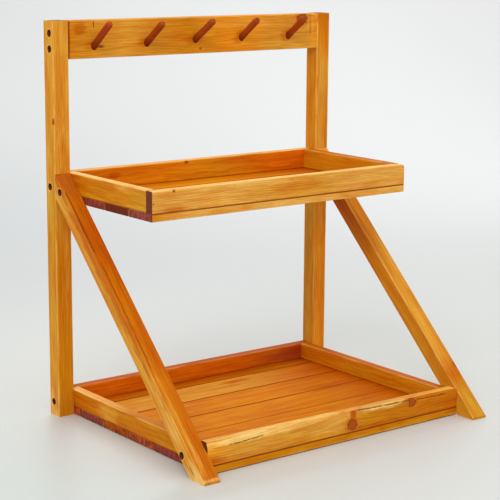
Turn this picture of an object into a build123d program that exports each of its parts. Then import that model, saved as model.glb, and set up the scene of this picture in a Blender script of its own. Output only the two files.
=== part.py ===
from build123d import *
import os
from math import atan2, cos, degrees, radians, sin, tan

# A two-tier wooden counter shelf: two side frames, each a post with a slanted brace in front of it,
# two slatted trays between them, and a rail across the top with a row of slanted pegs.
# Millimetres. X runs left to right, Y runs front to back, Z is up.
# The origin is at floor level, in the middle of the shelf's width and depth.

# Overall size
overall_width = 396.0
overall_height = 450.0
overall_depth = 309.5

# Square stick that the posts and braces are cut from. The left brace was set by hand, with its foot
# further back than the right one's
stick_width = 20.0
stick_depth = 20.0
post_top_chamfer = 0.8
toe_height = 3.0
left_foot_setback = 5.0

# Rims: the boards round the trays
rim_thickness = 11.5
upper_rim_height = 24.0
lower_rim_height = 20.0
rim_corner_radius = 4.5

# The lower front board is hand planed: it tapers in height and has a bevel that runs out to the right
lower_front_left_height = 26.0
lower_front_right_height = 23.0
bevel_left_drop = 7.0
bevel_left_depth = 2.2
bevel_right_drop = 2.0
bevel_right_depth = 0.8
cutter_overrun = 1.0

# Slats: they run left to right under the rims, the front one flush with the front board
slat_thickness = 8.5
slat_gap = 0.8
upper_tray_depth = 183.4
upper_slat_count = 4
lower_tray_setback = 27.3
lower_slat_count = 5
lower_filler_width = 32.2
upper_floor_height = 257.3
lower_floor_lift = 1.0

# Rail and pegs
rail_height = 42.5
rail_thickness = 15.0
peg_diameter = 8.0
peg_tip_length = 2.4
peg_tip_inset = 1.5
peg_fit = 0.05
socket_backing = 2.5

# The pegs as they were drilled by hand, from left to right: each one's place along the rail as
# a share of the rail's length, its drop below the rail's top, its length, and its rise in degrees
peg_shares = (0.093, 0.291, 0.482, 0.671, 0.872)
peg_drops = (28.5, 27.4, 25.6, 25.3, 25.5)
peg_lengths = (43.0, 40.5, 42.5, 38.5, 38.5)
peg_rise_angles = (38.0, 35.5, 32.5, 35.0, 35.0)

# Screws: cylinder heads at the bottom of plain counterbores
counterbore_diameter = 8.0
counterbore_depth = 6.0
head_diameter = 6.6
head_height = 2.4
shank_diameter = 3.5
recess_length = 3.6
recess_width = 0.9
recess_depth = 1.2
shank_clearance = 0.25
thread_clearance = 0.05
pilot_extra = 0.8
long_grip = 22.0
short_grip = 8.5

# Screw places: heights from the tray's floor or the rail's top, and setbacks from the shelf's back
# (posts), from the post's front face (upper brace) and from the brace's back face (lower brace)
rail_screw_drops = (13.6, 30.8)
post_screw_setback = 8.7
upper_post_screw_rise = 8.5
lower_post_screw_rise = 6.5
upper_brace_screw_setback = 9.5
upper_brace_screw_rise = 4.7
lower_brace_screw_margin = 5.0
lower_brace_screw_rise = 11.7

# Brads: small rectangular nails, sunk just below the surface
brad_width = 1.2
brad_thickness = 1.0
brad_sink = 0.3
brad_clearance = 0.05
corner_brad_length = 24.0
slat_brad_length = 20.0
slat_brad_inset = 3.2
corner_brad_inset = 8.2
corner_brad_low_rise = 3.0
corner_brad_top_drop = 4.5
rim_brad_count = 3

# Easing of the long edges, never more than a share of the piece's least size
stick_easing = 1.3
rim_easing = 1.4
slat_chamfer = 0.7
easing_limit = 0.4

# Places worked out from the sizes above
half_width = overall_width / 2
inner_half_width = half_width - stick_width
back = overall_depth / 2
front = -overall_depth / 2
post_front = back - stick_depth
tray_width = 2 * inner_half_width
lower_floor_height = lower_floor_lift + slat_thickness
upper_tray_top = upper_floor_height + upper_rim_height
upper_tray_front = back - upper_tray_depth
lower_tray_front = front + lower_tray_setback
upper_slat_width = (upper_tray_depth + slat_gap) / upper_slat_count - slat_gap
lower_slat_width = (back - lower_tray_front - lower_filler_width) / lower_slat_count - slat_gap
slat_widths = {
    "upper": [upper_slat_width] * upper_slat_count,
    "lower": [lower_filler_width] + [lower_slat_width] * lower_slat_count,
}
pegs = tuple(zip(peg_shares, peg_drops, peg_lengths, peg_rise_angles))

# Each tray's name, the Y of its front, the height of its floor and the height of its rims
trays = (
    ("upper", upper_tray_front, upper_floor_height, upper_rim_height),
    ("lower", lower_tray_front, lower_floor_height, lower_rim_height),
)

# The braces' front faces end level with the top of the upper tray. Each brace is described by the
# Y of the front of its foot
brace_top = upper_tray_top
left_foot = front + left_foot_setback
right_foot = front


def brace_lean(foot):
    """How far a brace leans from upright, in radians."""
    return atan2(post_front - foot, brace_top - toe_height)


def brace_front_at(height, foot):
    """Y of a brace's front face at a height above the floor."""
    return foot + (height - toe_height) * tan(brace_lean(foot))


def brace_back_at(height, foot):
    """Y of a brace's back face at a height above the floor."""
    return brace_front_at(height, foot) + stick_depth / cos(brace_lean(foot))


def long_edges(piece):
    """The edges that run along a piece. The others are the edges of its sawn ends."""
    longest = max(edge.length for edge in piece.edges())
    return piece.edges().filter_by(lambda edge: edge.length > longest / 2)


def eased(piece, easing):
    """A piece with its long edges rounded."""
    return fillet(long_edges(piece), min(easing, easing_limit * min(piece.bounding_box().size)))


def block(size, low_corner):
    """A plain block with its left, front, bottom corner at low_corner."""
    return Pos(*low_corner) * Box(*size, align=(Align.MIN, Align.MIN, Align.MIN))


def board(size, low_corner, easing):
    """A board with rounded long edges and its left, front, bottom corner at low_corner."""
    return eased(block(size, low_corner), easing)


def post():
    """The left post, without its holes. Its top end is lightly chamfered."""
    size = (stick_width, stick_depth, overall_height)
    stick = board(size, (-half_width, post_front, 0), stick_easing)
    return chamfer(stick.faces().sort_by(Axis.Z)[-1].edges(), post_top_chamfer)


def brace(foot):
    """A left brace, without its holes: mitred against the post and cut level at the floor."""
    contact_bottom = brace_top - stick_depth / sin(brace_lean(foot))
    outline = Polygon(
        (post_front, brace_top),
        (post_front, contact_bottom),
        (brace_back_at(0, foot), 0),
        (foot, 0),
        (foot, toe_height),
        align=None,
    )
    body = extrude(Plane.YZ * outline, amount=stick_width, dir=(1, 0, 0))
    return eased(Pos(-half_width, 0, 0) * body, stick_easing)


def along_x(radius, length, start, y, z):
    """A plain cylinder that starts at X start and runs towards the middle of the shelf."""
    place = Location((start, y, z), (0, 90, 0))
    return place * Cylinder(radius, length, align=(Align.CENTER, Align.CENTER, Align.MIN))


def screw_hole(y, z, grip):
    """Everything that a left-hand screw needs cut away: counterbore, shank hole and pilot hole."""
    seat = -half_width + counterbore_depth
    inside = -inner_half_width
    bore = along_x(counterbore_diameter / 2, counterbore_depth, -half_width, y, z)
    shank = along_x(shank_diameter / 2 + shank_clearance, inside - seat, seat, y, z)
    pilot_radius = shank_diameter / 2 + thread_clearance
    pilot = along_x(pilot_radius, grip + pilot_extra, inside, y, z)
    return bore + shank + pilot


def screw(y, z, grip):
    """A left-hand screw with a cross recess in its flat-seated head, in its counterbore."""
    head_radius = head_diameter / 2
    shank_radius = shank_diameter / 2
    length = stick_width - counterbore_depth + grip
    outline = Polyline(
        (-head_height, 0),
        (-head_height, head_radius),
        (0, head_radius),
        (0, shank_radius),
        (length, shank_radius),
        (length, 0),
        close=True,
    )
    body = revolve(make_face(outline), Axis.X)
    slot_place = Pos(-head_height + recess_depth / 2, 0, 0)
    body -= slot_place * Box(recess_depth, recess_length, recess_width)
    body -= slot_place * Box(recess_depth, recess_width, recess_length)
    return Pos(-half_width + counterbore_depth, y, z) * body


def brad_along(axis, length, place, clearance=0.0):
    """A brad, or with a clearance its hole, centred on the line through place along an axis."""
    across = (brad_width + 2 * clearance, brad_thickness + 2 * clearance)
    if axis == "y":
        size = (across[0], length, across[1])
        align = (Align.CENTER, Align.MIN, Align.CENTER)
    else:
        size = (*across, length)
        align = (Align.CENTER, Align.CENTER, Align.MIN)
    return Pos(*place) * Box(*size, align=align)


def corner_brads(tray_front, floor_height, rim_height, clearance=0.0):
    """Brads through the front and back boards into the ends of the side boards."""
    heights = (floor_height + corner_brad_low_rise, floor_height + rim_height - corner_brad_top_drop)
    brads = []
    for side in (-1, 1):
        x = side * (inner_half_width - corner_brad_inset)
        for z in heights:
            front_start = tray_front + brad_sink - clearance
            back_start = back - brad_sink - corner_brad_length - clearance
            length = corner_brad_length + 2 * clearance
            brads.append(brad_along("y", length, (x, front_start, z), clearance))
            brads.append(brad_along("y", length, (x, back_start, z), clearance))
    return brads


def slat_brads(tray_front, floor_height, slat_middles, clearance=0.0):
    """Brads up through the slats: one into each side board, and a row into the front and back."""
    bottom = floor_height - slat_thickness + brad_sink - clearance
    length = slat_brad_length + 2 * clearance
    side_x = inner_half_width - slat_brad_inset
    places = [(side * side_x, y) for y in slat_middles for side in (-1, 1)]
    step = tray_width / (rim_brad_count + 1)
    for number in range(1, rim_brad_count + 1):
        x = -inner_half_width + number * step
        places.append((x, tray_front + rim_thickness / 2))
        places.append((x, back - rim_thickness / 2))
    return [brad_along("z", length, (x, y, bottom), clearance) for x, y in places]


def side_board(tray_front, floor_height, rim_height):
    """The left side board, between the front and back boards."""
    depth = back - tray_front - 2 * rim_thickness
    low_corner = (-inner_half_width, tray_front + rim_thickness, floor_height)
    return board((rim_thickness, depth, rim_height), low_corner, rim_easing)


def back_board(floor_height, rim_height):
    """A back board, over the ends of the side boards."""
    low_corner = (-inner_half_width, back - rim_thickness, floor_height)
    return board((tray_width, rim_thickness, rim_height), low_corner, rim_easing)


def front_board(tray_front, floor_height, left_height, right_height):
    """A front board over the ends of the side boards, eased first and then rounded at its corner."""
    outline = Polygon(
        (-inner_half_width, floor_height),
        (inner_half_width, floor_height),
        (inner_half_width, floor_height + right_height),
        (-inner_half_width, floor_height + left_height),
        align=None,
    )
    top_right = outline.vertices().sort_by(Axis.X)[-2:].sort_by(Axis.Y)[-1]
    rounded = fillet(top_right, rim_corner_radius)
    blank = eased(extrude(Plane.XZ * outline, amount=rim_thickness, dir=(0, 1, 0)), rim_easing)
    blank &= extrude(Plane.XZ * rounded, amount=rim_thickness, dir=(0, 1, 0))
    return Pos(0, tray_front, 0) * blank


def bevel_section(x, drop, depth, top):
    """The triangle that the bevel takes off the top front edge at one place along the board."""
    slope = drop / depth
    triangle = Polygon(
        (lower_tray_front - cutter_overrun, top - drop - cutter_overrun * slope),
        (lower_tray_front + depth + cutter_overrun, top + cutter_overrun * slope),
        (lower_tray_front - cutter_overrun, top + cutter_overrun * slope),
        align=None,
    )
    return Pos(x, 0, 0) * (Plane.YZ * triangle)


def lower_front_board():
    """The lower front board, with its taper and the bevel that runs out along it."""
    left_top = lower_floor_height + lower_front_left_height
    right_top = lower_floor_height + lower_front_right_height
    left = bevel_section(-inner_half_width, bevel_left_drop, bevel_left_depth, left_top)
    right = bevel_section(inner_half_width, bevel_right_drop, bevel_right_depth, right_top)
    blank = front_board(
        lower_tray_front, lower_floor_height, lower_front_left_height, lower_front_right_height
    )
    return blank - loft([left.face(), right.face()], ruled=True)


def slat(width, slat_front, floor_height):
    """A slat of a tray's floor, with its front edge at Y slat_front and its arrises taken off."""
    size = (tray_width, width, slat_thickness)
    plain = block(size, (-inner_half_width, slat_front, floor_height - slat_thickness))
    return chamfer(long_edges(plain), min(slat_chamfer, easing_limit * slat_thickness))


def slat_rows(tray_front, widths):
    """The front edge and width of each slat, from the back of the tray to its front."""
    rows = []
    slat_front = tray_front
    for width in reversed(widths):
        rows.insert(0, (slat_front, width))
        slat_front += width + slat_gap
    return rows


def socket_depth(rise):
    """How far a socket runs into the rail, along the peg, before it leaves only its backing."""
    angle = radians(rise)
    return (rail_thickness - socket_backing - peg_diameter / 2 * sin(angle)) / cos(angle)


def dowel(share, drop, rise, radius, length):
    """A plain round bar from the bottom of a peg's socket, out to a length beyond the rail."""
    place = Location((share * tray_width - inner_half_width, post_front, overall_height - drop))
    depth = socket_depth(rise)
    bar = Cylinder(radius, depth + length, align=(Align.CENTER, Align.CENTER, Align.MIN))
    return place * Rot(90 - rise, 0, 0) * Pos(0, 0, -depth) * bar


def peg(share, drop, length, rise):
    """A round peg with a chamfered tip, glued into its socket in the rail."""
    bar = dowel(share, drop, rise, peg_diameter / 2, length)
    tip = bar.edges().filter_by(GeomType.CIRCLE).sort_by(Axis.Z)[-1]
    return chamfer(tip, peg_tip_length, peg_tip_inset)


def peg_socket(share, drop, rise):
    """The blind hole that a peg is glued into."""
    return dowel(share, drop, rise, peg_diameter / 2 + peg_fit, peg_diameter)


def rail():
    """The rail across the top, flush with the posts' fronts, with the peg sockets."""
    size = (tray_width, rail_thickness, rail_height)
    body = board(size, (-inner_half_width, post_front, overall_height - rail_height), rim_easing)
    for share, drop, _, rise in pegs:
        body -= peg_socket(share, drop, rise)
    return body


def screw_places(foot):
    """Each group's name, with the Y, Z and grip of one side's screws, for that side's brace."""
    rail_middle = post_front + rail_thickness / 2
    post_y = back - post_screw_setback
    upper_z = upper_floor_height + upper_brace_screw_rise
    lower_z = lower_floor_height + lower_brace_screw_rise
    lower_y = brace_back_at(lower_z, foot) - lower_brace_screw_margin / cos(brace_lean(foot))
    return {
        "rail_screws": [(rail_middle, overall_height - drop, long_grip) for drop in rail_screw_drops],
        "upper_post_screws": [(post_y, upper_floor_height + upper_post_screw_rise, long_grip)],
        "lower_post_screws": [(post_y, lower_floor_height + lower_post_screw_rise, long_grip)],
        "upper_brace_screws": [(post_front - upper_brace_screw_setback, upper_z, short_grip)],
        "lower_brace_screws": [(lower_y, lower_z, short_grip)],
    }


def mirrored(shape):
    """The same piece on the other side of the shelf."""
    return mirror(shape, about=Plane.YZ)


def cut_all(shape, cutters):
    """A shape with every cutter that reaches it taken away."""
    box = shape.bounding_box()
    for cutter in cutters:
        other = cutter.bounding_box()
        apart = (
            other.max.X < box.min.X or other.min.X > box.max.X
            or other.max.Y < box.min.Y or other.min.Y > box.max.Y
            or other.max.Z < box.min.Z or other.min.Z > box.max.Z
        )
        if not apart:
            shape = shape - cutter
    return shape


def solids_of(shapes):
    """One node that holds several separate solids."""
    return Compound(children=[shape.solid() for shape in shapes])


def wooden_nodes():
    """Every board, stick, slat and peg, before the screw and brad holes."""
    nodes = {
        "left_post": post(),
        "right_post": mirrored(post()),
        "left_brace": brace(left_foot),
        "right_brace": mirrored(brace(right_foot)),
        "top_rail": rail(),
        "upper_front_board": front_board(
            upper_tray_front, upper_floor_height, upper_rim_height, upper_rim_height
        ),
        "upper_back_board": back_board(upper_floor_height, upper_rim_height),
        "lower_front_board": lower_front_board(),
        "lower_back_board": back_board(lower_floor_height, lower_rim_height),
    }
    for tier, tray_front, floor_height, rim_height in trays:
        left_board = side_board(tray_front, floor_height, rim_height)
        nodes[f"{tier}_left_board"] = left_board
        nodes[f"{tier}_right_board"] = mirrored(left_board)
        for number, (slat_front, width) in enumerate(slat_rows(tray_front, slat_widths[tier]), 1):
            nodes[f"{tier}_slat_{number}"] = slat(width, slat_front, floor_height)
    for number, measures in enumerate(pegs, 1):
        nodes[f"peg_{number}"] = peg(*measures)
    return nodes


def fastener_nodes(clearance=0.0):
    """The brad groups, or with a clearance the holes that they need."""
    groups = {}
    for tier, tray_front, floor_height, rim_height in trays:
        middles = [start + width / 2 for start, width in slat_rows(tray_front, slat_widths[tier])]
        groups[f"{tier}_corner_brads"] = corner_brads(tray_front, floor_height, rim_height, clearance)
        groups[f"{tier}_slat_brads"] = slat_brads(tray_front, floor_height, middles, clearance)
    return groups


screws = {}
cutters = []
right_places = screw_places(right_foot)
for group, left_places in screw_places(left_foot).items():
    left = [screw(*place) for place in left_places]
    screws[group] = left + [mirrored(screw(*place)) for place in right_places[group]]
    cutters += [screw_hole(*place) for place in left_places]
    cutters += [mirrored(screw_hole(*place)) for place in right_places[group]]
for holes in fastener_nodes(brad_clearance).values():
    cutters += holes

parts = {name: cut_all(shape, cutters) for name, shape in wooden_nodes().items()}
parts.update({name: solids_of(shapes) for name, shapes in screws.items()})
parts.update({name: solids_of(shapes) for name, shapes in fastener_nodes().items()})

os.makedirs("parts", exist_ok=True)
for name, shape in parts.items():
    export_step(shape, f"parts/{name}.step")

for side, foot in (("left", left_foot), ("right", right_foot)):
    print(side, "brace's lean from upright, degrees:", round(degrees(brace_lean(foot)), 2))
print("nodes:", len(parts))
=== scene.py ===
from collections import namedtuple
from math import cos, radians, sin

import bpy
from mathutils import Matrix, Vector

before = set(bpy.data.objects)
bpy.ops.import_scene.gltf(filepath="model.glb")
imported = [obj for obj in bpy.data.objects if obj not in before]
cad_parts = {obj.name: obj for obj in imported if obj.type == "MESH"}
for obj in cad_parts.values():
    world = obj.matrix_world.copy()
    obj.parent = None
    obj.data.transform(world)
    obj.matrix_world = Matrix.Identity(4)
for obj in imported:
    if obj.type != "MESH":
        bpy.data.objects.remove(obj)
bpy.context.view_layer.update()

MM = 0.001
X, Y, Z = range(3)


def srgb(red, green, blue):
    """A colour as a picture writes it, 0 to 255, as the linear colour that a shader takes."""
    shares = [value / 255 for value in (red, green, blue)]
    linear = [s / 12.92 if s <= 0.04045 else ((s + 0.055) / 1.055) ** 2.4 for s in shares]
    return (*linear, 1.0)


# Tones of the varnished pine, from the palest to the darkest
pale = srgb(250, 214, 128)
straw = srgb(238, 184, 88)
apricot = srgb(246, 166, 36)
honey = srgb(228, 168, 58)
gold = srgb(216, 160, 42)
tawny = srgb(226, 146, 10)
amber = srgb(214, 144, 18)
flame = srgb(228, 122, 4)
orange = srgb(208, 122, 4)
rust = srgb(196, 98, 4)
brick = srgb(184, 78, 50)
sienna = srgb(166, 76, 20)
wine = srgb(142, 58, 62)
umber = srgb(138, 58, 16)
# The painted shade inside the counterbores
counterbore_shade = srgb(104, 54, 32)
bark = srgb(104, 46, 20)
plum = srgb(88, 24, 28)

# Tints that the pine's texture multiplies its tones by
mottle_tint = srgb(252, 216, 146)
band_tint = srgb(234, 204, 152)
grain_tint = srgb(212, 164, 94)

# Tones of the steel
screw_tone = srgb(62, 50, 48)
brad_tone = srgb(120, 108, 96)
steel_spot_tone = srgb(30, 24, 22)

# Tones of the stage
floor_tone = srgb(204, 207, 203)
floor_light_tone = srgb(210, 212, 209)
# A painted shadow on the floor to the left of the shelf
floor_shadow_tone = srgb(174, 188, 184)
floor_far_tone = srgb(250, 250, 250)
wall_tone = srgb(194, 196, 196)
wall_light_tone = srgb(238, 239, 239)

# Camera: the photograph's viewpoint, fitted to the edges of the shelf
camera_place = Vector((-1062.2, -1348.4, 538.3)) * MM
camera_heading = radians(37.50)
camera_pitch = radians(11.33)
camera_roll = radians(0.40)
focal_length_in_pixels = 1548.2
picture_width = 500
sensor_width = 36.0

# Stage: a floor that bends up into a backdrop, in metres
floor_width = 6.0
floor_front = -3.0
bend_start = 1.2
bend_radius = 0.8
bend_steps = 16
backdrop_top = 3.0

# Light: the strength of the white sky
sky_strength = 0.92

# How far each leaning piece's grain is turned from upright, in degrees. The pegs lean the other way
brace_leans = {"left_brace": 45.63, "right_brace": 46.13}
peg_leans = {"peg_1": -52.0, "peg_2": -54.5, "peg_3": -57.5, "peg_4": -55.0, "peg_5": -55.0}

# Where the pegs enter the rail: X and Z from its middle, in millimetres
peg_roots = ((-144.9, -7.3), (-74.4, -6.2), (-6.4, -4.4), (60.9, -4.1), (132.4, -4.3))

# Screw holes: the counterbores' radius, and a height that is less than the gap between two screws
counterbore_radius = 4.0 * MM
least_screw_gap = 5.0 * MM

# Growth rings: how far the pith wanders, in millimetres, how unevenly the rings are spaced and how
# faint one can be
pith_wander = 16.0
ring_unevenness = 1.6
faintest_ring = 0.3

# Each face's axis in the piece's own axes, and the way it faces
face_directions = {"left": (X, -1), "front": (Y, -1), "top": (Z, 1)}

# Marks on the pine, in millimetres from the piece's middle, along the grain and sideways, across it.
# A knot runs through the piece, and the others stay on one face. A patch reaches its length and its
# width to both sides
Knot = namedtuple("Knot", "side along sideways radius")
Patch = namedtuple("Patch", "face along sideways length width tone strength")
Crack = namedtuple("Crack", "face start end sideways slope width")


def third_axis(first, second):
    """The axis that is square to two others."""
    return X + Y + Z - first - second


def add_camera():
    """The camera, looking down a little and to the right."""
    data = bpy.data.cameras.new("camera")
    data.sensor_width = sensor_width
    data.lens = focal_length_in_pixels / picture_width * sensor_width
    camera = bpy.data.objects.new("camera", data)
    turn = Matrix.Rotation(-camera_heading, 4, "Z")
    turn @= Matrix.Rotation(radians(90) - camera_pitch, 4, "X")
    turn @= Matrix.Rotation(camera_roll, 4, "Z")
    camera.matrix_world = Matrix.Translation(camera_place) @ turn
    bpy.context.scene.collection.objects.link(camera)
    bpy.context.scene.camera = camera


# Shader graphs


class Graph:
    """A material's node tree, with a short call for each kind of node that the materials use."""

    def __init__(self, name):
        self.material = bpy.data.materials.new(name)
        self.material.use_nodes = True
        self.tree = self.material.node_tree
        self.shader = self.tree.nodes["Principled BSDF"]

    def feed(self, socket, value):
        """Links a value that is an output, or sets one that is a number or colour."""
        if isinstance(value, bpy.types.NodeSocket):
            self.tree.links.new(value, socket)
        else:
            socket.default_value = value

    def node(self, kind, *values, **settings):
        """A new node with its settings and its first inputs. None leaves an input as it is."""
        node = self.tree.nodes.new(kind)
        for name, setting in settings.items():
            setattr(node, name, setting)
        for socket, value in zip(node.inputs, values):
            if value is not None:
                self.feed(socket, value)
        return node

    def math(self, operation, *values):
        """A sum, product or other operation on numbers."""
        return self.node("ShaderNodeMath", *values, operation=operation).outputs[0]

    def product(self, *values):
        """Two or more numbers multiplied."""
        total = values[0]
        for value in values[1:]:
            total = self.math("MULTIPLY", total, value)
        return total

    def smooth(self, value, low, high, start=0.0, end=1.0):
        """A number that turns smoothly from start to end as the value goes from low to high."""
        values = (value, low, high, start, end)
        return self.node("ShaderNodeMapRange", *values, interpolation_type="SMOOTHSTEP").outputs[0]

    def fade(self, value, low, high, start=1.0):
        """A number that falls smoothly from start to nothing as the value goes from low to high."""
        return self.smooth(value, low, high, start, 0.0)

    def ragged(self, distance, noise, depth):
        """A distance made uneven by noise, evenly to both sides."""
        return self.math("MULTIPLY_ADD", noise, depth, self.math("SUBTRACT", distance, depth / 2))

    def length(self, first, second):
        """The length of the line that goes so far in two directions."""
        squares = self.math("MULTIPLY_ADD", first, first, self.product(second, second))
        return self.math("SQRT", squares)

    def vector(self, x, y, z):
        """Three numbers as one vector."""
        return self.node("ShaderNodeCombineXYZ", x, y, z).outputs[0]

    def split(self, vector):
        """A vector's three numbers."""
        return list(self.node("ShaderNodeSeparateXYZ", vector).outputs)

    def scale(self, vector, factor):
        """A vector with its three numbers multiplied by a factor."""
        node = self.node("ShaderNodeVectorMath", vector, operation="SCALE")
        node.inputs["Scale"].default_value = factor
        return node.outputs[0]

    def noise(self, vector, detail=2.0, roughness=0.5):
        """Soft noise from 0 to 1, with cells about one unit across."""
        return self.node("ShaderNodeTexNoise", vector, None, 1.0, detail, roughness).outputs[0]

    def mix(self, share, first, second, blend="MIX"):
        """One colour over another."""
        node = self.tree.nodes.new("ShaderNodeMix")
        node.data_type = "RGBA"
        node.blend_type = blend
        for socket, value in zip((node.inputs[0], node.inputs[6], node.inputs[7]), (share, first, second)):
            self.feed(socket, value)
        return node.outputs[2]

    def tint(self, share, colour, tint):
        """A colour multiplied by a tint, in part."""
        return self.mix(share, colour, self.mix(1.0, colour, tint, "MULTIPLY"))

    def ramp(self, value, stops):
        """A colour ramp through pairs of a place and a colour."""
        node = self.node("ShaderNodeValToRGB", value)
        elements = node.color_ramp.elements
        while len(elements) < len(stops):
            elements.new(1.0)
        for element, (place, colour) in zip(elements, stops):
            element.position = place
            element.color = colour
        return node.outputs[0]


# Pine


def leaned_box(piece, lean):
    """A piece's lowest and highest corners in axes turned about X by its lean."""
    turn = Matrix.Rotation(lean, 3, "X")
    places = [turn @ vertex.co for vertex in piece.data.vertices]
    low = Vector([min(place[axis] for place in places) for axis in range(3)])
    high = Vector([max(place[axis] for place in places) for axis in range(3)])
    return low, high


class Wood(Graph):
    """A pine material's graph. Places in it are millimetres from the piece's middle, and its axes
    lean with the grain."""

    def __init__(self, node, grain, lean):
        super().__init__(f"pine_{node}")
        self.seed = 7.3 * sorted(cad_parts).index(node)
        low, high = leaned_box(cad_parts[node], lean)
        self.half = (high - low) / 2 / MM
        self.grain = grain
        self.sides = [axis for axis in (X, Y, Z) if axis != grain]
        coordinates = self.node("ShaderNodeTexCoord")
        self.shelf_place = coordinates.outputs["Object"]
        turned = self.turned(self.shelf_place, lean)
        local = self.node("ShaderNodeVectorMath", turned, (low + high) / 2, operation="SUBTRACT").outputs[0]
        self.piece_place = self.scale(local, 1 / MM)
        self.place = self.split(self.piece_place)
        self.along = self.place[grain]
        self.share = self.math("MULTIPLY_ADD", self.along, 0.5 / self.half[grain], 0.5)
        self.normal = self.split(self.turned(coordinates.outputs["Normal"], lean))
        self.bent = list(self.place)

    def turned(self, vector, lean):
        """A vector in the axes that lean with the grain."""
        values = (vector, None, None, lean)
        return self.node("ShaderNodeVectorRotate", *values, rotation_type="X_AXIS").outputs[0]

    def facing(self, face):
        """1 on the surfaces that face one way, and 0 on the others."""
        axis, sign = face_directions[face]
        return self.smooth(self.product(self.normal[axis], sign), 0.55, 0.8)

    def side_of(self, face):
        """The axis that runs across the grain on a face."""
        return third_axis(self.grain, face_directions[face][0])

    def stretched_noise(self, along_scale, side_scale, detail=2.0, roughness=0.5):
        """Noise that is drawn out along the grain."""
        places = [self.product(self.bent[axis], side_scale) for axis in self.sides]
        shifted = self.math("MULTIPLY_ADD", self.along, along_scale, self.seed)
        return self.noise(self.vector(shifted, *places), detail, roughness)

    def distance(self, side, along, sideways, length=1.0, width=1.0):
        """The distance from a place, with its two directions measured in a length and a width."""
        off_along = self.product(self.math("SUBTRACT", self.along, along), 1 / length)
        off_side = self.product(self.math("SUBTRACT", self.place[side], sideways), 1 / width)
        return self.length(off_along, off_side)


def bend_round(wood, knot):
    """Draws the grain aside round a knot, most of all beside it."""
    distance = wood.distance(knot.side, knot.along, knot.sideways, length=1.6)
    pull = wood.fade(distance, 0.0, knot.radius * 4.5, start=0.7)
    off_side = wood.math("SUBTRACT", wood.place[knot.side], knot.sideways)
    wood.bent[knot.side] = wood.math("SUBTRACT", wood.bent[knot.side], wood.product(off_side, pull))


def ring_lines(wood, pith, ring):
    """The dark late wood of the growth rings round the pith, wandering slowly along the grain."""
    drift = wood.vector(
        wood.math("MULTIPLY_ADD", wood.along, 0.008, wood.seed),
        *[wood.product(wood.bent[axis], 0.03) for axis in wood.sides],
    )
    wander = wood.split(wood.node("ShaderNodeTexNoise", drift, None, 1.0, 2.0, 0.5).outputs["Color"])
    offsets = [
        wood.ragged(wood.math("SUBTRACT", wood.bent[axis], middle), shift, pith_wander)
        for axis, middle, shift in zip(wood.sides, pith, wander)
    ]
    count = wood.product(wood.length(*offsets), 1 / ring)
    uneven = wood.noise(wood.vector(wood.product(count, 0.6), wood.seed, 0.0), detail=1.0)
    count = wood.math("MULTIPLY_ADD", uneven, ring_unevenness, count)
    phase = wood.math("FRACT", count)
    late = wood.product(wood.smooth(phase, 0.25, 0.85), wood.fade(phase, 0.88, 1.0))
    number = wood.math("FLOOR", count)
    chance = wood.node("ShaderNodeTexWhiteNoise", None, number, noise_dimensions="1D").outputs[0]
    return wood.product(late, wood.math("MULTIPLY_ADD", chance, 1.0 - faintest_ring, faintest_ring))


def base_tone(wood, tones, faces):
    """The wood's tone along the grain, with other tones on the faces that have their own."""
    colour = wood.ramp(wood.share, tones)
    for face, stops in faces.items():
        colour = wood.mix(wood.facing(face), colour, wood.ramp(wood.share, stops))
    return colour


def add_patch(wood, colour, patch):
    """A ragged, soft-edged patch of another tone on one face."""
    edge = wood.stretched_noise(along_scale=0.06, side_scale=0.25, detail=3.0)
    side = wood.side_of(patch.face)
    distance = wood.distance(side, patch.along, patch.sideways, patch.length, patch.width)
    share = wood.fade(wood.ragged(distance, edge, 1.6), 0.4, 1.25, patch.strength)
    return wood.mix(wood.product(share, wood.facing(patch.face)), colour, patch.tone)


def add_texture(wood, colour, late, fibre, streak):
    """Mottling, broad bands, growth rings, fibres and short dark ducts, from coarse to fine."""
    mottle = wood.stretched_noise(along_scale=0.022, side_scale=0.07, detail=3.0)
    band = wood.stretched_noise(along_scale=0.012, side_scale=0.14)
    ducts = wood.stretched_noise(along_scale=0.14, side_scale=2.4)
    colour = wood.tint(wood.smooth(mottle, 0.45, 0.62, end=0.4), colour, mottle_tint)
    colour = wood.tint(wood.smooth(band, 0.35, 0.7, end=0.6), colour, band_tint)
    darkest = wood.mix(1.0, colour, grain_tint, "MULTIPLY")
    colour = wood.mix(wood.product(late, streak), colour, darkest)
    colour = wood.mix(wood.fade(fibre, 0.35, 0.62, start=0.5), colour, darkest)
    return wood.mix(wood.smooth(ducts, 0.6, 0.72, end=0.5), colour, darkest)


def add_arrises(wood, colour, worn_and_lit, seam_shade):
    """Paler arrises, all of them or the top or bottom ones: partly wear and partly a painted highlight.
    The others, which touch the next piece, are darkened with painted shade."""
    insets = [
        wood.math("SUBTRACT", wood.half[axis], wood.math("ABSOLUTE", wood.place[axis]))
        for axis in wood.sides
    ]
    corner = wood.math("ADD", *insets)
    uneven = wood.stretched_noise(along_scale=0.03, side_scale=0.4, detail=3.0)
    # Pale arrises: partly wear, partly a painted highlight
    wear_and_highlight = wood.product(wood.fade(corner, 0.7, 2.0), wood.smooth(uneven, 0.35, 0.6, end=0.3))
    if worn_and_lit == "all":
        return wood.mix(wear_and_highlight, colour, pale)
    height = wood.product(wood.place[Z], 1.0 if worn_and_lit == "top" else -1.0)
    above = wood.math("GREATER_THAN", height, 0.0)
    colour = wood.mix(wood.product(wear_and_highlight, above), colour, pale)
    below = wood.math("SUBTRACT", 1.0, above)
    # Painted shade along the arrises that touch the next piece
    return wood.mix(wood.product(wood.fade(corner, 0.7, 1.2), below, seam_shade), colour, umber)


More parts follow.
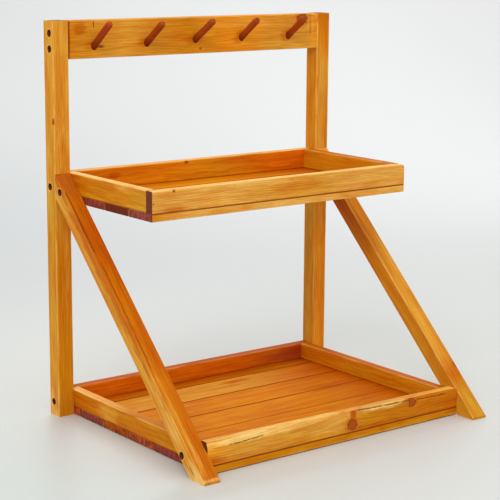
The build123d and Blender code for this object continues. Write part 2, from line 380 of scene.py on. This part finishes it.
def add_knot(wood, colour, knot):
    """A knot with a reddish heart, a dark rim and a warm glow round it. It runs through the piece."""
    through = third_axis(wood.grain, knot.side)
    cut = wood.smooth(wood.math("ABSOLUTE", wood.normal[through]), 0.35, 0.6)
    distance = wood.distance(knot.side, knot.along, knot.sideways, knot.radius * 1.15, knot.radius)
    ragged = wood.ragged(distance, wood.noise(wood.scale(wood.piece_place, 0.34)), 1.5)
    colour = wood.mix(wood.product(cut, wood.fade(ragged, 1.0, 2.2, start=0.6)), colour, rust)
    heart = wood.ramp(ragged, ((0.0, umber), (0.3, sienna), (0.7, sienna), (0.95, umber)))
    return wood.mix(wood.product(cut, wood.fade(ragged, 0.98, 1.2, start=0.95)), colour, heart)


def add_crack(wood, colour, crack):
    """A thin, dark, broken split that runs along the grain on one face."""
    wobble = wood.noise(wood.vector(wood.product(wood.along, 0.11), wood.seed, crack.sideways), detail=3.0)
    past_start = wood.math("SUBTRACT", wood.along, crack.start)
    line = wood.math("MULTIPLY_ADD", past_start, crack.slope, crack.sideways)
    line = wood.ragged(line, wobble, 2.4)
    off_line = wood.math("ABSOLUTE", wood.math("SUBTRACT", wood.place[wood.side_of(crack.face)], line))
    broken = wood.noise(wood.vector(wood.product(wood.along, 0.35), crack.sideways, wood.seed))
    taper = 3.0
    share = wood.product(
        wood.fade(off_line, crack.width * 0.3, crack.width * 0.8, start=0.8),
        wood.smooth(wood.along, crack.start, crack.start + taper),
        wood.fade(wood.along, crack.end - taper, crack.end),
        wood.smooth(broken, 0.3, 0.5, start=0.4),
        wood.facing(crack.face),
    )
    return wood.mix(share, colour, bark)


def add_end_grain(wood, colour, end_tone):
    """Thirstier, darker end grain, with upright saw marks."""
    across = wood.product(wood.place[wood.sides[0]], 0.34)
    upright = wood.product(wood.place[Z], 0.12)
    marks = wood.noise(wood.vector(across, upright, wood.seed), roughness=0.7)
    tone = wood.mix(wood.smooth(marks, 0.42, 0.6, end=0.85), end_tone, plum)
    share = wood.smooth(wood.math("ABSOLUTE", wood.normal[wood.grain]), 0.7, 0.9, end=0.92)
    return wood.mix(share, colour, tone)


def add_holes(wood, colour, holes):
    """Counterbores at pairs of Y and Z, darkened inside with painted shade, with a ring of chipped pale
    wood round their mouths.
    """
    place = wood.split(wood.shelf_place)
    chips = wood.smooth(wood.noise(wood.scale(wood.shelf_place, 0.5 / MM), detail=3.0), 0.45, 0.6)
    for y, z in holes:
        distance = wood.length(wood.math("SUBTRACT", place[Y], y), wood.math("SUBTRACT", place[Z], z))
        past_edge = wood.math("SUBTRACT", distance, counterbore_radius)
        ring = wood.fade(past_edge, 0.2 * MM, 2.0 * MM, start=0.8)
        colour = wood.mix(wood.product(ring, chips), colour, pale)
        # Painted shade inside the counterbore
        colour = wood.mix(wood.fade(past_edge, 0.02 * MM, 0.3 * MM, start=0.97), colour, counterbore_shade)
    return colour


def add_varnish(wood, late, fibre, gloss):
    """A dull varnish with the grain's relief in it."""
    wood.feed(wood.shader.inputs["Roughness"], wood.math("MULTIPLY_ADD", fibre, 0.2, 0.44))
    wood.shader.inputs["Specular IOR Level"].default_value = gloss
    relief = wood.math("MULTIPLY_ADD", late, 0.5, wood.product(fibre, 0.5))
    bump = wood.node("ShaderNodeBump", 0.35, 0.15 * MM, None, relief)
    wood.feed(wood.shader.inputs["Normal"], bump.outputs[0])


def dress(node, material):
    """Gives a CAD node one material all over."""
    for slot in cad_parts[node].material_slots:
        slot.material = material


# One set of arrises is painted pale, partly as wear and partly as a painted highlight; the others are
# darkened with painted shade
def pine(node, grain, tones, faces=None, lean=0.0, pith=(-40.0, 18.0), ring=2.8, streak=0.4, patches=(),
         knots=(), cracks=(), worn_and_lit="all", seam_shade=0.5, end_tone=umber, holes=(), gloss=0.06):
    """Varnished pine with growth rings, fibres and knots that run through the whole piece."""
    wood = Wood(node, grain, lean)
    for knot in knots:
        bend_round(wood, knot)
    late = ring_lines(wood, pith, ring)
    fibre = wood.stretched_noise(along_scale=0.035, side_scale=1.1, detail=4.0, roughness=0.6)

    colour = base_tone(wood, tones, faces or {})
    for patch in patches:
        colour = add_patch(wood, colour, patch)
    colour = add_texture(wood, colour, late, fibre, streak)
    if worn_and_lit != "none":
        colour = add_arrises(wood, colour, worn_and_lit, seam_shade)
    for knot in knots:
        colour = add_knot(wood, colour, knot)
    for crack in cracks:
        colour = add_crack(wood, colour, crack)
    colour = add_end_grain(wood, colour, end_tone)
    if holes:
        colour = add_holes(wood, colour, holes)
    wood.feed(wood.shader.inputs["Base Color"], colour)
    add_varnish(wood, late, fibre, gloss)
    dress(node, wood.material)


def even(tone):
    """One tone from end to end."""
    return ((0.0, tone), (1.0, tone))


# The shelf's wooden pieces


def screw_axes(side, *nodes):
    """The Y and Z of the screws on one side of the shelf, -1 for the left and 1 for the right."""
    axes = []
    for node in nodes:
        points = [vertex.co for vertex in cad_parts[node].data.vertices if vertex.co.x * side > 0]
        groups = []
        for point in sorted(points, key=lambda point: point.z):
            if not groups or point.z - groups[-1][-1].z > least_screw_gap:
                groups.append([])
            groups[-1].append(point)
        for group in groups:
            ys = [point.y for point in group]
            zs = [point.z for point in group]
            axes.append(((min(ys) + max(ys)) / 2, (min(zs) + max(zs)) / 2))
    return axes


def dress_posts():
    """The posts: gold on the left, honey to amber in front."""
    pine(
        "left_post", Z, even(amber),
        faces={
            "left": ((0.0, pale), (0.03, honey), (0.5, gold), (1.0, honey)),
            "front": ((0.0, amber), (0.4, amber), (0.62, honey), (0.9, honey)),
        },
        patches=(
            Patch("left", -208.0, 5.0, 18.0, 3.5, pale, 0.9),
            Patch("left", 60.0, 5.0, 60.0, 2.0, straw, 0.5),
            Patch("front", -40.0, 3.0, 90.0, 2.5, straw, 0.35),
            Patch("front", 72.0, 2.0, 26.0, 8.0, orange, 0.5),
        ),
        knots=(Knot(Y, 114.7, -8.4, 2.4),),
        pith=(34.0, -22.0), ring=2.4,
        holes=screw_axes(-1, "rail_screws", "upper_post_screws", "lower_post_screws"),
    )
    pine(
        "right_post", Z, even(amber),
        faces={
            "left": ((0.0, gold), (0.5, gold), (0.7, amber), (1.0, amber)),
            "front": (
                (0.0, apricot), (0.35, apricot), (0.55, honey), (0.85, honey), (0.93, tawny), (1.0, orange),
            ),
        },
        patches=(
            Patch("front", 60.0, 6.0, 140.0, 2.0, orange, 0.5),
            # A painted highlight on the front-left arris beside the rail's end
            Patch("front", 203.7, -9.3, 22.0, 1.3, pale, 1.0),
        ),
        pith=(-26.0, -30.0), ring=2.8,
        holes=screw_axes(1, "rail_screws", "upper_post_screws", "lower_post_screws"),
    )


def dress_braces():
    """The braces. The left one is golden on its outer side and orange in front, with a rusty band along
    the arris between them; its outer side turns paler towards the foot, partly wear and partly a painted
    reflection of the pale floor. The right one is paler in front, and painted shade darkens its inner
    side towards the top, under the tray."""
    pine(
        "left_brace", Z, even(amber), lean=radians(brace_leans["left_brace"]),
        faces={
            # The paler foot of the outer side is partly wear and partly a painted reflection of the pale
            # floor
            "left": ((0.0, pale), (0.03, pale), (0.09, honey), (0.17, straw), (0.4, honey), (0.9, honey)),
            "front": ((0.0, orange), (0.6, orange), (0.8, rust), (0.95, orange)),
        },
        patches=(
            Patch("left", 120.0, 3.0, 70.0, 2.5, straw, 0.6),
            Patch("left", 60.0, -7.0, 170.0, 7.0, rust, 0.75),
            Patch("front", 190.0, 0.0, 26.0, 14.0, sienna, 0.55),
            Patch("front", 110.0, 4.0, 60.0, 6.0, rust, 0.6),
            Patch("front", -30.0, 7.0, 60.0, 3.0, rust, 0.5),
            Patch("front", -120.0, -6.0, 60.0, 3.0, honey, 0.7),
            Patch("front", -197.0, 0.0, 3.0, 12.0, pale, 0.7),
            Patch("front", -172.0, -5.0, 26.0, 4.0, straw, 0.7),
            Patch("left", -178.0, 1.0, 8.0, 1.1, umber, 0.8),
            Patch("left", -168.0, 4.0, 14.0, 1.0, sienna, 0.5),
        ),
        cracks=(
            Crack("front", 90.0, 176.0, -8.0, 0.01, 1.4),
            Crack("front", -60.0, 80.0, -7.2, 0.01, 1.0),
        ),
        pith=(30.0, -24.0), ring=3.0, worn_and_lit="none",
        holes=screw_axes(-1, "upper_brace_screws", "lower_brace_screws"),
    )
    pine(
        "right_brace", Z, even(amber), lean=radians(brace_leans["right_brace"]),
        faces={
            # Rust and sienna towards the top of the inner side are painted shade under the tray
            "left": ((0.0, gold), (0.3, gold), (0.6, amber), (0.82, rust), (0.95, sienna)),
            "front": (
                (0.0, gold), (0.09, gold), (0.15, orange), (0.22, honey), (0.6, honey), (0.8, apricot),
            ),
        },
        patches=(Patch("front", 40.0, -5.0, 90.0, 2.5, orange, 0.5),),
        knots=(Knot(X, -129.3, 8.6, 2.6),),
        pith=(-34.0, -16.0), ring=2.6,
        holes=screw_axes(1, "upper_brace_screws", "lower_brace_screws"),
    )


def dress_rail():
    """The rail, with a warm painted shadow beside and below each peg's root, and a knot behind the last
    peg.
    """
    # A painted shadow beside and below each peg's root
    root_shadows = tuple(Patch("front", x - 5.0, z - 1.0, 8.0, 7.0, orange, 0.75) for x, z in peg_roots)
    pine(
        "top_rail", X,
        (
            (0.0, amber), (0.2, honey), (0.45, amber), (0.7, apricot), (0.8, honey), (0.95, honey),
            (1.0, apricot),
        ),
        patches=root_shadows + (
            Patch("front", -163.0, 12.0, 9.0, 7.0, rust, 0.7),
            Patch("front", -145.4, 16.5, 0.9, 5.0, umber, 0.9),
            Patch("front", -137.0, -8.5, 6.0, 2.0, umber, 0.8),
            Patch("front", -177.2, 0.0, 1.6, 60.0, sienna, 0.9),
            Patch("front", -50.0, 5.0, 12.0, 9.0, gold, 0.7),
            Patch("front", 163.4, 10.0, 1.8, 12.0, straw, 0.7),
            Patch("front", 167.0, 8.0, 2.2, 18.0, sienna, 0.3),
            Patch("front", 170.4, 5.0, 1.5, 18.0, straw, 0.6),
            Patch("front", 60.0, 12.0, 60.0, 4.0, straw, 0.5),
        ),
        knots=(Knot(Z, 153.6, 14.9, 6.4), Knot(Z, 0.6, -15.5, 1.3)),
        pith=(12.0, -46.0), ring=3.2,
    )


def dress_pegs():
    """The pegs: darker red-brown dowel, painted darkest at the root as painted shade. The first peg's tip
    is painted lighter as painted light.
    """
    for node, lean in peg_leans.items():
        # The first peg's lighter tip is painted light, and plum and umber at the root are painted shade
        tip = brick if node == "peg_1" else sienna
        pine(
            node, Z, ((0.0, plum), (0.3, umber), (0.5, sienna), (1.0, tip)),
            lean=radians(lean), pith=(-14.0, 9.0), ring=1.6, streak=0.5, end_tone=sienna,
        )


def dress_upper_rim():
    """The boards round the upper tray: pale in front, redder inside. The tops of the front, left and back
    boards are painted pale as a painted highlight, and the right board's top darker as painted shade.
    """
    pine(
        "upper_front_board", X, ((0.0, straw), (0.2, straw), (0.6, honey), (0.8, straw)),
        # A painted highlight on the top face
        faces={"top": even(pale)},
        patches=(
            Patch("front", -40.0, 8.0, 110.0, 3.0, pale, 0.5),
            Patch("front", -176.4, -1.4, 0.9, 0.9, plum, 0.8),
            Patch("front", -150.0, -9.0, 26.0, 2.4, orange, 0.7),
        ),
        knots=(Knot(Z, -150.5, 10.4, 1.1),),
        pith=(2.0, 70.0), ring=2.2, streak=0.6, worn_and_lit="top", end_tone=plum,
    )
    pine(
        "upper_left_board", Y, ((0.0, gold), (0.3, amber), (0.7, amber), (1.0, orange)),
        # A painted highlight on the top face
        faces={"top": even(pale)},
        patches=(Patch("left", -38.0, 8.5, 20.0, 4.0, straw, 0.7),),
        pith=(40.0, 10.0), worn_and_lit="top",
    )
    # The top face is painted darker as painted shade
    pine("upper_right_board", Y, even(amber), faces={"top": even(orange)}, pith=(40.0, -10.0), worn_and_lit="top")
    pine(
        "upper_back_board", X, ((0.0, orange), (0.4, tawny), (0.6, amber), (0.85, flame)),
        # A painted highlight on the top face
        faces={"top": even(straw)},
        patches=(Patch("front", -114.0, 2.0, 8.0, 3.5, rust, 0.8),),
        knots=(Knot(Z, -13.7, 9.5, 1.8),),
        pith=(44.0, -20.0), worn_and_lit="top", end_tone=plum,
    )


def dress_lower_rim():
    """The boards round the lower tray. The front one has a pale bevel, two knots and a split. The tops of
    the right and back boards are painted darker as painted shade.
    """
    pine(
        "lower_front_board", X, ((0.0, apricot), (0.1, honey), (0.5, honey), (0.6, amber), (1.0, orange)),
        faces={"top": ((0.0, pale), (0.45, pale), (0.6, straw), (1.0, straw))},
        patches=(
            Patch("front", -95.0, 9.5, 105.0, 5.5, pale, 0.95),
            Patch("front", -12.0, 3.0, 34.0, 10.0, straw, 0.75),
            Patch("front", 62.0, 10.0, 46.0, 5.0, pale, 1.0),
            Patch("front", 19.6, 10.0, 5.0, 7.0, rust, 1.0),
            Patch("front", 18.6, 3.0, 5.0, 7.0, rust, 1.0),
            Patch("front", -166.0, -8.0, 14.0, 4.5, rust, 0.6),
            Patch("front", -112.0, -7.0, 44.0, 6.0, straw, 0.5),
            Patch("front", 60.0, -10.0, 50.0, 2.4, rust, 0.8),
        ),
        knots=(Knot(Z, 17.2, -4.5, 5.8), Knot(Z, 106.6, 5.0, 4.8)),
        cracks=(
            Crack("front", -152.0, -104.0, 5.6, 0.04, 1.2),
            Crack("front", 22.0, 104.0, 10.4, -0.03, 1.6),
            Crack("front", 112.0, 160.0, 7.0, -0.02, 1.2),
        ),
        pith=(-6.0, 40.0), ring=3.4, worn_and_lit="top", end_tone=plum,
    )
    pine(
        "lower_left_board", Y, ((0.0, amber), (0.5, amber), (0.72, orange), (1.0, orange)),
        faces={"top": ((0.0, amber), (0.55, amber), (0.7, straw), (1.0, pale))},
        patches=(Patch("left", 50.0, 1.0, 24.0, 12.0, honey, 0.8),),
        pith=(36.0, 24.0), worn_and_lit="top",
    )
    pine(
        "lower_right_board", Y, ((0.0, amber), (0.6, amber), (1.0, tawny)),
        # The top face is painted darker as painted shade
        faces={"top": even(orange)}, pith=(-44.0, 20.0), worn_and_lit="top",
    )
    pine(
        "lower_back_board", X, ((0.0, flame), (0.7, flame), (1.0, rust)),
        # The top face is painted darker as painted shade
        faces={"top": even(rust)},
        patches=(Patch("front", 150.0, -2.0, 60.0, 9.0, brick, 0.7),),
        pith=(40.0, -26.0), worn_and_lit="top", end_tone=plum,
    )


def dress_slats():
    """The floors' slats. Painted shade darkens their top arrises along the gaps and their right ends, and
    their sawn ends are dark.
    """
    tops = {"upper_slat_4": straw, "lower_slat_1": orange, "lower_slat_2": honey}
    edges = {"upper_slat_4": ((0.0, amber), (0.12, straw), (1.0, straw)), "lower_slat_6": even(amber)}
    swirl = (
        Patch("top", 34.0, 11.0, 26.0, 7.0, orange, 0.9),
        Patch("top", 30.0, 12.0, 10.0, 2.4, rust, 0.9),
    )
    swirls = {"lower_slat_2": swirl}
    knots = {"lower_slat_4": (Knot(Y, -120.0, 4.0, 3.4),)}
    # How strong the painted shade along the gaps is on these slats
    seam_shades = {"lower_slat_4": 0.4, "lower_slat_5": 0.4}
    ends = {"upper": (wine, plum), "lower": (brick, wine, sienna)}
    for number, node in enumerate(sorted(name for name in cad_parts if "_slat_" in name)):
        if node.endswith("brads"):
            continue
        top = tops.get(node, tawny)
        tier_ends = ends[node.split("_")[0]]
        pine(
            # Orange to rust towards the right end is painted shade
            node, X, ((0.0, top), (0.6, top), (0.85, orange), (1.0, rust)),
            faces={"front": edges[node]} if node in edges else {},
            patches=swirls.get(node, ()), knots=knots.get(node, ()),
            pith=(24.0 + 9.0 * (number % 3), 30.0 - 11.0 * (number % 4)), ring=2.4,
            worn_and_lit="bottom", seam_shade=seam_shades.get(node, 0.85),
            end_tone=tier_ends[number % len(tier_ends)], gloss=0.02,
        )


# Steel


def steel(name, tone):
    """Dull steel with a fine scatter of darker spots."""
    graph = Graph(name)
    place = graph.node("ShaderNodeTexCoord").outputs["Object"]
    spots = graph.noise(graph.scale(place, 1 / MM), detail=4.0)
    graph.feed(graph.shader.inputs["Base Color"], graph.mix(spots, tone, steel_spot_tone))
    graph.feed(graph.shader.inputs["Roughness"], graph.smooth(spots, 0.3, 0.7, start=0.4, end=0.65))
    graph.shader.inputs["Metallic"].default_value = 1.0
    return graph.material


def dress_steel():
    """The screws and brads."""
    screw_steel = steel("screw_steel", screw_tone)
    brad_steel = steel("brad_steel", brad_tone)
    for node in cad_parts:
        if node.endswith("screws"):
            dress(node, screw_steel)
        elif node.endswith("brads"):
            dress(node, brad_steel)


# Stage


def floor_mesh():
    """A sheet that lies flat and then bends up into a backdrop."""
    outline = [(floor_front, 0.0), (bend_start, 0.0)]
    for step in range(1, bend_steps + 1):
        angle = radians(90) * step / bend_steps
        outline.append((bend_start + bend_radius * sin(angle), bend_radius * (1 - cos(angle))))
    outline.append((bend_start + bend_radius, backdrop_top))
    corners = [(side * floor_width / 2, y, z) for y, z in outline for side in (-1, 1)]
    faces = [(2 * n, 2 * n + 1, 2 * n + 3, 2 * n + 2) for n in range(len(outline) - 1)]
    mesh = bpy.data.meshes.new("floor")
    mesh.from_pydata(corners, [], faces)
    mesh.shade_smooth()
    return mesh


def floor_material():
    """Pale paint with a cool painted shadow to the left of the shelf, whiter far away. The backdrop is
    greyest straight behind the shelf and nearly white to both sides."""
    graph = Graph("floor")
    place = graph.node("ShaderNodeTexCoord").outputs["Object"]
    across, back, _ = graph.split(place)
    aside = graph.math("ABSOLUTE", across)
    away = graph.math("MAXIMUM", aside, graph.product(back, -1.0))
    # Painted shadow on the floor to the left of the shelf
    left_shadow = graph.product(graph.fade(across, -0.7, 0.0, start=0.9), graph.smooth(across, -1.5, -0.8))
    colour = graph.mix(graph.noise(place), floor_tone, floor_light_tone)
    colour = graph.mix(left_shadow, colour, floor_shadow_tone)
    colour = graph.mix(graph.smooth(away, 1.8, 2.9), colour, floor_far_tone)
    wall = graph.mix(graph.smooth(aside, 0.2, 2.0), wall_tone, wall_light_tone)
    colour = graph.mix(graph.smooth(back, 0.2, 0.9), colour, wall)
    graph.feed(graph.shader.inputs["Base Color"], colour)
    graph.shader.inputs["Roughness"].default_value = 0.4
    graph.shader.inputs["Specular IOR Level"].default_value = 0.3
    return graph.material


def add_stage():
    """A plain pale floor with a backdrop."""
    mesh = floor_mesh()
    mesh.materials.append(floor_material())
    floor = bpy.data.objects.new("floor", mesh)
    bpy.context.scene.collection.objects.link(floor)


def add_lamp(name, place, target, size, power, colour):
    """A soft square lamp at a place, facing a target."""
    data = bpy.data.lights.new(name, "AREA")
    data.size = size
    data.energy = power
    data.color = colour
    lamp = bpy.data.objects.new(name, data)
    direction = Vector(target) - Vector(place)
    lamp.matrix_world = Matrix.Translation(place) @ direction.to_track_quat("-Z", "Y").to_matrix().to_4x4()
    bpy.context.scene.collection.objects.link(lamp)


def add_light():
    """Even light from all round, with soft lamps from the front left and from behind."""
    world = bpy.data.worlds.new("world")
    world.use_nodes = True
    sky = world.node_tree.nodes["Background"]
    sky.inputs["Color"].default_value = (1.0, 1.0, 1.0, 1.0)
    sky.inputs["Strength"].default_value = sky_strength
    bpy.context.scene.world = world
    add_lamp(
        "key", place=(-1.6, -1.2, 1.9), target=(0, 0, 0.2),
        size=1.2, power=26.0, colour=(1.0, 0.97, 0.92),
    )
    add_lamp(
        "window", place=(0.6, 1.6, 1.6), target=(0, 0, 0.1),
        size=1.4, power=16.0, colour=(0.96, 0.98, 1.0),
    )


bpy.context.scene.view_settings.view_transform = "Standard"
add_camera()
add_stage()
add_light()
dress_posts()
dress_braces()
dress_rail()
dress_pegs()
dress_upper_rim()
dress_lower_rim()
dress_slats()
dress_steel()
